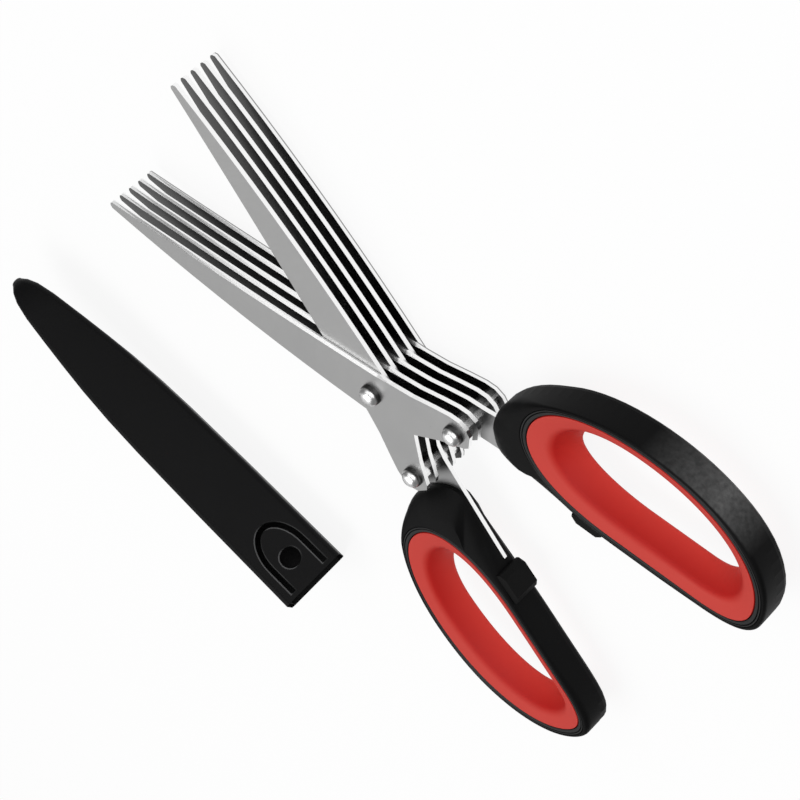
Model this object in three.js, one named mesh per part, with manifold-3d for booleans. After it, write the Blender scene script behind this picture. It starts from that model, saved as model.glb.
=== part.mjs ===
// Herb scissors with five pairs of blades, and the sheath that covers them.
// Millimetres, +Z up. The scissors lie flat and open. The origin is on the pivot
// axis, in the plane that the scissors rest on, and +X points to the blade tips,
// midway between the two arms. Arm B swings about the pivot axis.
import * as THREE from 'three';
import { mergeVertices } from 'three/addons/utils/BufferGeometryUtils.js';
import Module from 'manifold-3d';

const wasm = await Module();
wasm.setup();

// Blades
const pairCount = 5;
const bladeThickness = 1.05;
const pairPitch = 3.1;
const slidingGap = 0.05;
const bladeLength = 82.4;
const spineOffset = 6.7;
const cuttingOffset = 7.8;
const tipHalfWidth = 1.05;
const shankLength = 28.0;
const bevelWidth = 0.5;
const edgeLand = 0.4;

// Opening: the angle between the blades as they lie, fully open and fully shut
const restOpening = THREE.MathUtils.degToRad(42.2);

// Rivets and spacers; each rear rivet keeps its distance from the end of the shank
const rivetRadius = 1.6;
const boreClearance = 0.08;
const pivotHeadRadius = 2.7;
const rearHeadRadius = 2.6;
const headHeight = 2.6;
const headRimHeight = 0.35;
const footHeight = 1.6;
const footRadius = 1.9;
const rearRivetInset = 4.25;
const rearRivetSide = 7.0;
const spacerRadius = 3.0;
const pivotSpacerRadius = 3.4;

// Handles
const handleGap = 0.9;
const handleLength = 75.5;
const handleInnerSide = 4.2;
const handleOuterSide = 42.5;
const handleThickness = 8.8;
const handleRise = 0.7;
const shellRound = 2.1;
const neckRound = 8.0;
const rearNeckRound = 6.5;
const rearNeckInset = 0.8;
const gripDrop = 0.7;
const gripRound = 1.1;
const gripBackRound = 1.3;
const gripFit = 0.15;

// Tang of the middle blade of each arm, which reaches its length into the handle
const tangRootEdge = 2.1;
const tangNeckWidth = 8.9;
const tangBarWidth = 1.75;
const tangLength = 24.3;
const tangFit = 0.3;

// Stop bumpers on the inner sides of the handles, set back from the handles' fronts
const bumperSetback = 26.0;
const bumperLength = 8.2;
const bumperFace = 1.6;
const bumperHeight = 7.2;
const bumperChamfer = 1.4;
const bumperFit = 0.15;
const bumperPegLength = 1.5;
const bumperPegRadius = 1.2;

// Sheath
const sheathLength = 112.8;
const sheathWidth = 19.3;
const sheathWall = 1.2;
const sheathRoom = 0.4;
const sheathHoleBack = 8.4;
const sheathHoleRadius = 2.8;
const tongueHalfWidth = 5.7;
const tongueStraight = 8.2;
const tongueArch = 9.2;
const tongueStart = 1.4;
const tongueSlot = 1.4;
const sheathTaper = 13.0;
const sheathNose = 5.5;
const sheathPlace = { x: -20.4, y: 102.9 };
const sheathHeading = THREE.MathUtils.degToRad(3.6);
const sheathLean = THREE.MathUtils.degToRad(26);

// Mesh density
const ringStations = 64;
const boreSegments = 24;
const curveSteps = 10;
const ringCurveSteps = 30;
const cutOverrun = 1;

// Levels, all worked out from the sizes above
const stackHeight = (pairCount - 1) * pairPitch + 2 * bladeThickness + slidingGap;
const stackTop = footHeight + stackHeight;
const stackMiddle = footHeight + stackHeight / 2;
const middlePair = (pairCount - 1) / 2;
const boreRadius = rivetRadius + boreClearance;
const rearRivetBack = shankLength - rearRivetInset;
const handleFront = shankLength + handleGap;
const tangReach = handleFront + tangLength;
const bumperStart = handleFront + bumperSetback;
const handleMiddle = stackMiddle + handleRise;
const handleTop = handleMiddle + handleThickness / 2;
const handleBottom = handleMiddle - handleThickness / 2;
const handleWidth = handleOuterSide - handleInnerSide;
const tangEdge = handleInnerSide;

// Materials
const material = (color, roughness, metalness) =>
  new THREE.MeshStandardMaterial({ color, roughness, metalness });
const steel = () => material(0xa9a9a9, 0.34, 1);
const polished = () => material(0xd0d0d0, 0.14, 1);
const blackPlastic = () => material(0x161718, 0.55, 0);
const bumperRubber = () => material(0x1d1e1f, 0.75, 0);
const redRubber = () => material(0xc8302b, 0.5, 0);
const sheathPlastic = () => material(0x17181a, 0.5, 0);

// Solids: three.js geometry to a manifold and back
function toSolid(geometry) {
  const bare = geometry.index ? geometry.toNonIndexed() : geometry.clone();
  for (const name of Object.keys(bare.attributes)) {
    if (name !== 'position') bare.deleteAttribute(name);
  }
  const merged = mergeVertices(bare);
  return new wasm.Manifold(new wasm.Mesh({
    numProp: 3,
    vertProperties: new Float32Array(merged.attributes.position.array),
    triVerts: new Uint32Array(merged.index.array),
  }));
}

function toGeometry(solid) {
  const mesh = solid.getMesh();
  const geometry = new THREE.BufferGeometry();
  geometry.setAttribute('position', new THREE.BufferAttribute(new Float32Array(mesh.vertProperties), 3));
  geometry.setIndex(new THREE.BufferAttribute(new Uint32Array(mesh.triVerts), 1));
  geometry.computeVertexNormals();
  return geometry;
}

function addPiece(group, name, solid, look) {
  const mesh = new THREE.Mesh(toGeometry(solid), look);
  mesh.name = name;
  group.add(mesh);
  return mesh;
}

// A closed solid from loops of equal point count, each loop joined to the next.
// Closed rings join the last loop to the first; open ones get a cap at each end.
function loftLoops(loops, isRing, capTriangles = []) {
  const count = loops[0].length;
  const positions = loops.flat().flatMap((point) => [point.x, point.y, point.z]);
  const triangles = [];
  const spans = isRing ? loops.length : loops.length - 1;
  for (let i = 0; i < spans; i++) {
    const here = i * count;
    const next = ((i + 1) % loops.length) * count;
    for (let j = 0; j < count; j++) {
      const k = (j + 1) % count;
      triangles.push(here + j, here + k, next + k, here + j, next + k, next + j);
    }
  }
  if (!isRing) {
    const last = (loops.length - 1) * count;
    for (const [a, b, c] of capTriangles) {
      triangles.push(c, b, a, last + a, last + b, last + c);
    }
  }
  const geometry = new THREE.BufferGeometry();
  geometry.setAttribute('position', new THREE.Float32BufferAttribute(positions, 3));
  geometry.setIndex(triangles);
  if (signedVolume(positions, triangles) < 0) {
    for (let i = 0; i < triangles.length; i += 3) {
      [triangles[i], triangles[i + 1]] = [triangles[i + 1], triangles[i]];
    }
    geometry.setIndex(triangles);
  }
  return toSolid(geometry);
}

function signedVolume(positions, triangles) {
  const corner = (index) => new THREE.Vector3().fromArray(positions, index * 3);
  let volume = 0;
  for (let i = 0; i < triangles.length; i += 3) {
    const [a, b, c] = triangles.slice(i, i + 3).map(corner);
    volume += a.dot(b.cross(c));
  }
  return volume;
}

function extrude(points, depth, z) {
  const geometry = new THREE.ExtrudeGeometry(new THREE.Shape(points), { depth, bevelEnabled: false });
  geometry.translate(0, 0, z);
  return toSolid(geometry);
}

function cylinder(radius, height, x, y, z) {
  const geometry = new THREE.CylinderGeometry(radius, radius, height, boreSegments);
  geometry.rotateX(Math.PI / 2);
  geometry.translate(x, y, z + height / 2);
  return toSolid(geometry);
}

function turned(profile, x, y, z) {
  const geometry = new THREE.LatheGeometry(profile.map(([r, h]) => new THREE.Vector2(r, h)), boreSegments);
  geometry.rotateX(Math.PI / 2);
  geometry.translate(x, y, z);
  return toSolid(geometry);
}

// Arms are drawn with +X to the blade tip and +Y to the cutting edge. Arm A is
// the mirror image of arm B, so its points are flipped across the X axis.
const arms = [
  { letter: 'a', side: -1, turn: restOpening / 2, level: bladeThickness + slidingGap, bevelUp: true },
  { letter: 'b', side: 1, turn: -restOpening / 2, level: 0, bevelUp: false },
];

const bottomOfPlate = (arm, pair) =>
  footHeight + (pairCount - 1 - pair) * pairPitch + arm.level;

const flip = (arm, points) => points.map((point) => new THREE.Vector2(point.x, arm.side * point.y));

// One blade plate, from the tip along the cutting edge, round the shank and back
// along the spine. The curves bow slightly, and the root narrows below the pivot.
function bladeOutline(hasTang, edgeInset) {
  const tip = [
    new THREE.Vector2(bladeLength, -tipHalfWidth / 3),
    new THREE.Vector2(bladeLength, tipHalfWidth / 2 - edgeInset * tipBevelShare),
    new THREE.Vector2(bladeLength - tipHalfWidth / 2, tipHalfWidth - edgeInset * tipBevelShare),
  ];
  const heel = new THREE.Vector2(-edgeHeelShare * shankLength, cuttingOffset - edgeInset);
  const cutting = new THREE.QuadraticBezierCurve(
    tip[2],
    new THREE.Vector2(bladeLength * bowPlaceShare, cuttingOffset * cuttingBowShare - edgeInset),
    heel,
  ).getPoints(curveSteps).slice(1);
  const spineStart = new THREE.Vector2(-spineHeelShare * shankLength, -spineOffset);
  const spine = new THREE.QuadraticBezierCurve(
    spineStart,
    new THREE.Vector2(bladeLength * bowPlaceShare, -spineOffset * spineBowShare),
    new THREE.Vector2(bladeLength - tipHalfWidth / 2, -tipHalfWidth),
  ).getPoints(curveSteps);
  const shank = shankShares.map(([x, y]) => new THREE.Vector2(-x * shankLength, y * cuttingOffset));
  const root = hasTang ? tangOutline(0) : rootShares.map(
    ([x, y]) => new THREE.Vector2(-x * shankLength, y * cuttingOffset),
  );
  const waist = waistShares.map(([x, y]) => new THREE.Vector2(-x * shankLength, y * spineOffset));
  return [...tip, ...cutting, ...shank, ...root, ...waist, ...spine];
}

const bowPlaceShare = 0.47;
const cuttingBowShare = 0.445;
const spineBowShare = 1.21;
const edgeHeelShare = 0.04;
const spineHeelShare = 0.21;
const tipBevelShare = 0.3;
// Shares of the shank length behind the pivot, and of the cutting edge's offset
const shankShares = [[0.18, 1.04], [0.4, 1.17], [0.62, 1.39], [0.78, 1.53]];
const rootShares = [[0.88, 1.54], [0.96, 1.4], [1.0, 1.2], [1.0, 0.72], [0.96, 0.57]];
// Shares of the shank length behind the pivot, and of the spine's offset
const waistShares = [[0.72, 0.16], [0.5, -0.44], [0.34, -0.9], [0.27, -0.98]];

// The tang leaves the shank as a broad neck and narrows to a bar along the inner
// side of the handle, its edge flush with the plastic. Growing it gives its seat.
function tangOutline(grow) {
  const barTop = tangEdge + tangBarWidth + grow;
  const neck = tangNeckShares.map(([x, y]) => new THREE.Vector2(
    -handleFront - x * tangLength - grow * x,
    tangEdge + y * tangNeckWidth + grow,
  ));
  const reach = tangReach + grow;
  return [
    ...neck,
    new THREE.Vector2(-handleFront - tangBarShare * tangLength, barTop),
    new THREE.Vector2(-reach, barTop),
    new THREE.Vector2(-reach, tangEdge - grow),
    new THREE.Vector2(-rearRivetBack, tangRootEdge - grow),
  ];
}

const tangNeckShares = [[-0.08, 0.92], [0.08, 1.0], [0.2, 0.88], [0.36, 0.52]];
const tangBarShare = 0.56;

function bladePlate(arm, pair) {
  const hasTang = pair === middlePair;
  const z = bottomOfPlate(arm, pair);
  const full = flip(arm, bladeOutline(hasTang, 0));
  const ground = flip(arm, bladeOutline(hasTang, bevelWidth));
  const levels = arm.bevelUp
    ? [[full, z], [full, z + edgeLand], [ground, z + bladeThickness]]
    : [[ground, z], [full, z + bladeThickness - edgeLand], [full, z + bladeThickness]];
  const loops = levels.map(([points, height]) =>
    points.map((point) => new THREE.Vector3(point.x, point.y, height)));
  const caps = THREE.ShapeUtils.triangulateShape(full, []);
  const plate = loftLoops(loops, false, orientCaps(full, caps));
  const bore = (x, y) => cylinder(boreRadius, bladeThickness + 2 * cutOverrun, x, y, z - cutOverrun);
  return plate
    .subtract(bore(0, 0))
    .subtract(bore(-rearRivetBack, arm.side * rearRivetSide));
}

// Cap triangles run the same way round as the loops do
function orientCaps(points, triangles) {
  return triangles.map(([a, b, c]) => {
    const ab = points[b].clone().sub(points[a]);
    const ac = points[c].clone().sub(points[a]);
    const isLeft = ab.cross(ac) > 0;
    return isLeft === !THREE.ShapeUtils.isClockWise(points) ? [a, b, c] : [a, c, b];
  });
}

// Rivet: a domed head on the front of the stack and a shank through it
function rivet(x, y, top, bottom, headRadius) {
  const shankBottom = bottom - footHeight;
  return turned([
    [0, shankBottom],
    [rivetRadius, shankBottom],
    [rivetRadius, top],
    [headRadius, top],
    [headRadius, top + headRimHeight],
    ...domeShares.map(([r, h]) => [headRadius * r, top + headRimHeight + (headHeight - headRimHeight) * h]),
    [0, top + headHeight],
  ], x, y, 0);
}

const domeShares = [[0.9, 0.4], [0.7, 0.74], [0.42, 0.94]];

// The set end of the rivet: a collar with a flat foot, round the shank
function rivetCollar(x, y, bottom, headRadius) {
  const low = bottom - footHeight;
  return turned([
    [boreRadius, low],
    [footRadius, low],
    [headRadius, bottom - headRimHeight],
    [headRadius, bottom],
    [boreRadius, bottom],
    [boreRadius, low],
  ], x, y, 0);
}

function spacer(x, y, bottom, height, radius) {
  return turned([
    [boreRadius, bottom],
    [radius, bottom],
    [radius, bottom + height],
    [boreRadius, bottom + height],
    [boreRadius, bottom],
  ], x, y, 0);
}

// Handle outlines. Each runs from the inner side, round the far end and the
// outer side, to the neck, and its control points are shares of the handle.
const handlePoint = ([along, across]) => new THREE.Vector2(
  -handleFront - along * handleLength,
  handleInnerSide + across * handleWidth,
);

function ringCurve(shares) {
  const path = new THREE.CurvePath();
  const points = shares.map(handlePoint);
  for (let i = 0; i + 3 < points.length; i += 3) {
    path.add(new THREE.CubicBezierCurve(points[i], points[i + 1], points[i + 2], points[i + 3]));
  }
  return path.getPoints(ringCurveSteps);
}

const outerShares = [
  [0.08, -0.036], [0.2, -0.018], [0.32, 0], [0.45, 0],
  [0.56, 0], [0.68, 0], [0.783, 0],
  [0.935, 0], [1, 0.06], [1, 0.321],
  [1, 0.71], [0.822, 1], [0.544, 1],
  [0.28, 1], [0.04, 0.62], [0.022, 0.27],
  [0.012, 0.12], [0.03, -0.03], [0.08, -0.036],
];
const gripShares = [
  [0.49, 0.063], [0.6, 0.063], [0.7, 0.063], [0.783, 0.063],
  [0.902, 0.063], [0.963, 0.125], [0.963, 0.321],
  [0.963, 0.67], [0.783, 0.945], [0.544, 0.945],
  [0.306, 0.945], [0.16, 0.72], [0.16, 0.44],
  [0.16, 0.23], [0.28, 0.063], [0.49, 0.063],
];
const rimShares = [
  [0.5, 0.175], [0.6, 0.175], [0.7, 0.175], [0.77, 0.175],
  [0.86, 0.175], [0.905, 0.23], [0.905, 0.37],
  [0.905, 0.63], [0.75, 0.835], [0.525, 0.835],
  [0.34, 0.835], [0.235, 0.65], [0.235, 0.44],
  [0.235, 0.27], [0.34, 0.175], [0.5, 0.175],
];
const holeShares = [
  [0.55, 0.206], [0.62, 0.206], [0.7, 0.206], [0.76, 0.206],
  [0.828, 0.206], [0.862, 0.27], [0.862, 0.39],
  [0.862, 0.6], [0.72, 0.786], [0.505, 0.786],
  [0.37, 0.786], [0.282, 0.61], [0.282, 0.43],
  [0.282, 0.3], [0.4, 0.206], [0.55, 0.206],
];

const ringCentreShare = [0.544, 0.465];
const ringCentre = handlePoint(ringCentreShare);

// Where a ray from the ring's centre meets an outline
function alongRay(outline, direction) {
  for (let i = 0; i < outline.length; i++) {
    const a = outline[i].clone().sub(ringCentre);
    const b = outline[(i + 1) % outline.length].clone().sub(ringCentre);
    const sideA = direction.cross(a);
    const sideB = direction.cross(b);
    if ((sideA > 0) !== (sideB > 0) && a.dot(direction) > 0) {
      return a.lerp(b, sideA / (sideA - sideB)).add(ringCentre);
    }
  }
  throw new Error('outline does not surround the ring centre');
}

// Stations evenly spaced along the outer wall, and on the rays through them
const outerLoop = new THREE.SplineCurve(ringCurve(outerShares))
  .getSpacedPoints(ringStations)
  .slice(0, ringStations);

function stationsOn(shares) {
  const outline = ringCurve(shares);
  return outerLoop.map((point) => alongRay(outline, point.clone().sub(ringCentre).normalize()));
}

const gripLoop = stationsOn(gripShares);
const rimLoop = stationsOn(rimShares);
const holeLoop = stationsOn(holeShares);

// Unit vectors that point away from the finger hole, one for each point of a loop
function outwardNormals(loop) {
  return loop.map((point, i) => {
    const before = loop[(i + loop.length - 1) % loop.length];
    const after = loop[(i + 1) % loop.length];
    const along = after.clone().sub(before);
    const normal = new THREE.Vector2(along.y, -along.x).normalize();
    return normal.dot(point.clone().sub(ringCentre)) < 0 ? normal.negate() : normal;
  });
}

const outerNormals = outwardNormals(outerLoop);
const gripNormals = outwardNormals(gripLoop);
const holeNormals = outwardNormals(holeLoop);

const moved = (point, normal, distance) => point.clone().addScaledVector(normal, distance);

// How near a station is to the neck: 1 at the neck, 0 past the taper's reach
function neckness(point, reachShare) {
  const along = (-point.x - handleFront) / handleLength;
  return THREE.MathUtils.clamp(1 - along / reachShare, 0, 1);
}

// How near a station is to the handle's inner side: 1 on it, 0 well away from it
function innerness(point) {
  const across = (point.y - handleInnerSide) / handleWidth;
  return THREE.MathUtils.clamp(1 - across / innerReachShare, 0, 1);
}

const neckReachShare = 0.35;
const innerNeckReachShare = 0.5;
const innerReachShare = 0.2;
const roundSteps = 3;

// Half of the black handle ring, rounded at its outer edge on one face. The
// rounding grows towards the neck, where the handle tapers onto the tang. On the
// inner side of the neck the front half slopes down flat, and the rear half steps
// in behind the tang's bare edge.
function shellHalf(arm, joinLevel, faceLevel) {
  const up = Math.sign(faceLevel - joinLevel);
  const loops = outerLoop.map((wall, i) => {
    const innerTaper = neckness(wall, innerNeckReachShare) * innerness(wall);
    const inset = up > 0 ? 0 : rearNeckInset * innerTaper;
    const flatness = up > 0 ? innerTaper : 0;
    const point = moved(wall, outerNormals[i], -inset);
    const rim = point.distanceTo(gripLoop[i]) - gripFit;
    const inward = gripLoop[i].clone().sub(point).normalize();
    const slant = -inward.dot(outerNormals[i]);
    const fullWidth = up > 0
      ? THREE.MathUtils.lerp(shellRound, neckRound, neckness(wall, neckReachShare))
      : THREE.MathUtils.lerp(shellRound, rearNeckRound, innerTaper);
    const width = Math.min(fullWidth / slant, rim * roundShare);
    const drop = Math.min(width, fullWidth, Math.abs(faceLevel - joinLevel) * shellDropShare);
    const corner = quarterRound(roundSteps, flatness).map(([across, down]) => [
      moved(point, inward, width * across),
      faceLevel - up * drop * down,
    ]);
    const inner = moved(gripLoop[i], gripNormals[i], gripFit);
    const section = [[point, joinLevel], ...corner, [inner, faceLevel], [inner, joinLevel]];
    return section.map(([flat, z]) => new THREE.Vector3(flat.x, arm.side * flat.y, z));
  });
  return loftLoops(loops, true);
}

const shellDropShare = 0.8;
const roundShare = 0.85;

// Points of a rounded corner from its side to its face, as shares of its radius:
// how far in from the side and how far down from the face. A flatness of 1 makes
// it a plain slope.
function quarterRound(steps, flatness = 0) {
  return Array.from({ length: steps + 1 }, (_, step) => {
    const along = step / steps;
    const angle = along * Math.PI / 2;
    return [
      THREE.MathUtils.lerp(1 - Math.cos(angle), along, flatness),
      THREE.MathUtils.lerp(1 - Math.sin(angle), 1 - along, flatness),
    ];
  });
}

// The soft ring inside the handle: a band that slopes in from the front face to
// a rounded rim, a wall that narrows to the finger hole and a rounded rear edge
function gripRing(arm) {
  const level = (point, z) => new THREE.Vector3(point.x, point.y, z);
  const towards = (from, to, distance) => from.clone().lerp(to, distance / from.distanceTo(to));
  const loops = gripLoop.map((point, i) => {
    const edge = level(point, handleTop);
    const rim = level(rimLoop[i], handleTop - gripDrop);
    const foot = level(holeLoop[i], handleBottom + gripBackRound);
    const lip = new THREE.QuadraticBezierCurve3(
      towards(rim, edge, gripRound),
      rim,
      towards(rim, foot, gripRound),
    );
    const heel = quarterRound(roundSteps).map(([across, down]) => level(
      moved(holeLoop[i], holeNormals[i], gripBackRound * across),
      handleBottom + gripBackRound * down,
    ));
    const section = [level(point, handleBottom), edge, ...lip.getPoints(lipSteps), ...heel];
    return section.map((corner) => new THREE.Vector3(corner.x, arm.side * corner.y, corner.z));
  });
  return loftLoops(loops, true);
}

const lipSteps = 3;

// Seat for the tang in the rear shell, open towards the neck and the inner side
function tangSeat(arm, joinLevel) {
  const outline = flip(arm, tangOutline(tangFit));
  const side = -handleFront - tangBarShare * tangLength;
  const mouth = flip(arm, [
    new THREE.Vector2(-handleFront + cutOverrun, handleInnerSide - cutOverrun),
    new THREE.Vector2(-handleFront + cutOverrun, tangEdge + tangNeckWidth + tangFit),
    new THREE.Vector2(-handleFront - tangMouthShare * handleLength, tangEdge + tangNeckWidth + tangFit),
    new THREE.Vector2(side, tangEdge + tangBarWidth + tangFit),
    new THREE.Vector2(-tangReach - tangFit, tangEdge + tangBarWidth + tangFit),
    new THREE.Vector2(-tangReach - tangFit, handleInnerSide - cutOverrun),
  ]);
  const depth = bladeThickness + cutOverrun;
  return extrude(outline, depth, joinLevel - bladeThickness)
    .add(extrude(mouth, depth, joinLevel - bladeThickness));
}

const tangMouthShare = 0.06;

// Bumper: a block with chamfered ends, and a peg that sits in the rear shell
function stopBumper(arm, pegLevel) {
  const near = -bumperStart;
  const far = -bumperStart - bumperLength;
  const back = handleInnerSide - bumperFit;
  const block = extrude(flip(arm, [
    new THREE.Vector2(near, back),
    new THREE.Vector2(near, bumperFace + bumperChamfer),
    new THREE.Vector2(near - bumperChamfer, bumperFace),
    new THREE.Vector2(far + bumperChamfer, bumperFace),
    new THREE.Vector2(far, bumperFace + bumperChamfer),
    new THREE.Vector2(far, back),
  ]), bumperHeight, handleMiddle - bumperHeight / 2);
  return block.add(bumperPeg(arm, pegLevel, bumperPegRadius, bumperPegLength));
}

function bumperPeg(arm, level, radius, length) {
  const geometry = new THREE.CylinderGeometry(radius, radius, length + cutOverrun, boreSegments);
  const start = handleInnerSide - bumperFit - cutOverrun;
  geometry.translate(
    -bumperStart - bumperLength / 2,
    arm.side * (start + (length + cutOverrun) / 2),
    level,
  );
  return toSolid(geometry);
}

// Sheath: drawn with +X from the mouth to the tip, +Y across and +Z through its
// thickness, as a half that is closed on one face and open where the halves meet
const sheathInside = stackHeight + 2 * sheathRoom;
const sheathThickness = sheathInside + 2 * sheathWall;

function sheathOutline(inset, start) {
  const reach = sheathLength - inset;
  const upper = sheathShares.map(([x, y]) => new THREE.Vector2(x * reach, y * (sheathWidth / 2 - inset)));
  upper[0].x = start;
  const lower = upper.slice(0, -1).map((point) => new THREE.Vector2(point.x, -point.y));
  return [...lower, ...upper.reverse()];
}

// The sheath seen from its edge: full thickness over the blades, and drawn in
// past their tips to a rounded nose
function sheathProfile(inset, start) {
  const half = sheathThickness / 2 - inset;
  const reach = sheathLength - inset;
  const nose = sheathNose / 2 - inset / 2;
  const upper = [new THREE.Vector2(start, half), ...new THREE.CubicBezierCurve(
    new THREE.Vector2(sheathLength - sheathTaper, half),
    new THREE.Vector2(sheathLength - sheathTaper * taperShare, half),
    new THREE.Vector2(reach, nose * taperRiseShare),
    new THREE.Vector2(reach, nose),
  ).getPoints(curveSteps)];
  const lower = upper.map((point) => new THREE.Vector2(point.x, -point.y)).reverse();
  const geometry = new THREE.ExtrudeGeometry(new THREE.Shape([...upper, ...lower]), {
    depth: sheathWidth,
    bevelEnabled: false,
  });
  geometry.translate(0, 0, -sheathWidth / 2);
  geometry.rotateX(Math.PI / 2);
  return toSolid(geometry);
}

const taperShare = 0.45;
const taperRiseShare = 1.9;

// Shares of the sheath's length from the mouth, and of its half height
const sheathShares = [
  [0, 1], [0.3, 0.97], [0.5, 0.93], [0.6, 0.885], [0.69, 0.81], [0.77, 0.71],
  [0.84, 0.61], [0.905, 0.51], [0.95, 0.4], [0.976, 0.28], [0.991, 0.16], [1, 0],
];

function tonguePath(halfWidth, arch) {
  const straight = tongueStart + tongueStraight;
  const side = [new THREE.Vector2(tongueStart, -halfWidth), new THREE.Vector2(straight, -halfWidth)];
  const curve = [];
  for (let step = 1; step < curveSteps; step++) {
    const angle = -Math.PI / 2 + (step / curveSteps) * Math.PI;
    curve.push(new THREE.Vector2(straight + arch * Math.cos(angle), halfWidth * Math.sin(angle)));
  }
  const otherSide = side.map((point) => new THREE.Vector2(point.x, halfWidth)).reverse();
  return [...side, ...curve, ...otherSide];
}

function sheathHalf(face) {
  const half = sheathThickness / 2;
  const depth = half - sheathWall;
  const cavityLow = face > 0 ? -cutOverrun : -depth;
  const inside = extrude(sheathOutline(sheathWall, -cutOverrun), depth + cutOverrun, cavityLow)
    .intersect(sheathProfile(sheathWall, -cutOverrun));
  return extrude(sheathOutline(0, 0), half, face > 0 ? 0 : -half)
    .intersect(sheathProfile(0, 0))
    .subtract(inside);
}

// The front face has a springy tongue at the mouth, set off by an arched slot,
// with a hole that clicks over the pivot rivet's head
function withTongue(half) {
  const low = sheathThickness / 2 - sheathWall - cutOverrun;
  const depth = sheathWall + 2 * cutOverrun;
  const slot = [
    ...tonguePath(tongueHalfWidth + tongueSlot / 2, tongueArch + tongueSlot / 2),
    ...tonguePath(tongueHalfWidth - tongueSlot / 2, tongueArch - tongueSlot / 2).reverse(),
  ];
  return half
    .subtract(extrude(slot, depth, low))
    .subtract(cylinder(sheathHoleRadius, depth, sheathHoleBack, 0, low));
}

// Assembly
const scissors = new THREE.Group();

for (const arm of arms) {
  const group = new THREE.Group();
  group.rotation.z = arm.turn;
  scissors.add(group);
  const rearX = -rearRivetBack;
  const rearY = arm.side * rearRivetSide;
  const topOfStack = bottomOfPlate(arm, 0) + bladeThickness;
  const bottomOfStack = bottomOfPlate(arm, pairCount - 1);

  for (let pair = 0; pair < pairCount; pair++) {
    addPiece(group, `blade_${arm.letter}${pair + 1}`, bladePlate(arm, pair), steel());
  }
  for (let pair = 0; pair + 1 < pairCount; pair++) {
    const bottom = bottomOfPlate(arm, pair + 1) + bladeThickness;
    const height = pairPitch - bladeThickness;
    addPiece(group, `rear_spacer_${arm.letter}${pair + 1}`,
      spacer(rearX, rearY, bottom, height, spacerRadius), polished());
  }
  addPiece(group, `rear_rivet_${arm.letter}`,
    rivet(rearX, rearY, topOfStack, bottomOfStack, rearHeadRadius), polished());
  addPiece(group, `rear_rivet_collar_${arm.letter}`,
    rivetCollar(rearX, rearY, bottomOfStack, rearHeadRadius), polished());

  const joinLevel = bottomOfPlate(arm, middlePair) + bladeThickness;
  const pegLevel = (joinLevel - bladeThickness + handleBottom) / 2;
  const pegSeat = bumperPeg(arm, pegLevel, bumperPegRadius + bumperFit, bumperPegLength + bumperFit);
  addPiece(group, `handle_front_shell_${arm.letter}`, shellHalf(arm, joinLevel, handleTop), blackPlastic());
  addPiece(group, `handle_rear_shell_${arm.letter}`,
    shellHalf(arm, joinLevel, handleBottom).subtract(tangSeat(arm, joinLevel)).subtract(pegSeat),
    blackPlastic());
  addPiece(group, `finger_grip_${arm.letter}`, gripRing(arm), redRubber());
  addPiece(group, `stop_bumper_${arm.letter}`, stopBumper(arm, pegLevel), bumperRubber());
}

addPiece(scissors, 'pivot_rivet', rivet(0, 0, stackTop, footHeight, pivotHeadRadius), polished());
addPiece(scissors, 'pivot_collar', rivetCollar(0, 0, footHeight, pivotHeadRadius), polished());
for (let pair = 0; pair + 1 < pairCount; pair++) {
  const bottom = bottomOfPlate(arms[0], pair + 1) + bladeThickness;
  const height = pairPitch - 2 * bladeThickness - slidingGap;
  addPiece(scissors, `pivot_washer_${pair + 1}`,
    spacer(0, 0, bottom, height, pivotSpacerRadius), polished());
}

// The sheath stands beside the scissors on its long rear edge, leaning back
const sheath = new THREE.Group();
sheath.rotation.set(Math.PI / 2 - sheathLean, 0, sheathHeading, 'ZXY');
sheath.position.set(
  sheathPlace.x,
  sheathPlace.y,
  (sheathWidth * Math.cos(sheathLean) + sheathThickness * Math.sin(sheathLean)) / 2,
);
scissors.add(sheath);
addPiece(sheath, 'sheath_front_shell', withTongue(sheathHalf(1)), sheathPlastic());
addPiece(sheath, 'sheath_rear_shell', sheathHalf(-1), sheathPlastic());

export default scissors;
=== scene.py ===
"""Looks of the herb scissors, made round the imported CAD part. Metres, +Z up."""

import math

import bmesh
import bpy
from mathutils import Matrix, Vector

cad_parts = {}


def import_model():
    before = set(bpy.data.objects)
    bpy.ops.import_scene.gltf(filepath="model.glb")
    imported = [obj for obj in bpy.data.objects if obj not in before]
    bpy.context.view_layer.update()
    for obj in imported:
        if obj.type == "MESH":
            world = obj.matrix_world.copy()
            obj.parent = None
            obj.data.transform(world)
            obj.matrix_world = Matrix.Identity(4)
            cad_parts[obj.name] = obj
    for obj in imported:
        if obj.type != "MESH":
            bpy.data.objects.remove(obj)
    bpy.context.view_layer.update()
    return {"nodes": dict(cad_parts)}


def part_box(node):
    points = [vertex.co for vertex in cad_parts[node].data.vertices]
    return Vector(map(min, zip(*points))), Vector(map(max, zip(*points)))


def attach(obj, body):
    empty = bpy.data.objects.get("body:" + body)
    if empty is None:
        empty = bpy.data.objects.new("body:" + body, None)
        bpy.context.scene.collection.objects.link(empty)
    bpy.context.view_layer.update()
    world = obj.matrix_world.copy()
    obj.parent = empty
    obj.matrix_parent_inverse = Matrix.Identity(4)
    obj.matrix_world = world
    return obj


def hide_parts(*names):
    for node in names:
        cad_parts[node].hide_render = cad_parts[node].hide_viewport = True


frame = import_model()
nodes = frame["nodes"]

MM = 0.001
MERGE_DISTANCE = 1e-7

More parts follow.
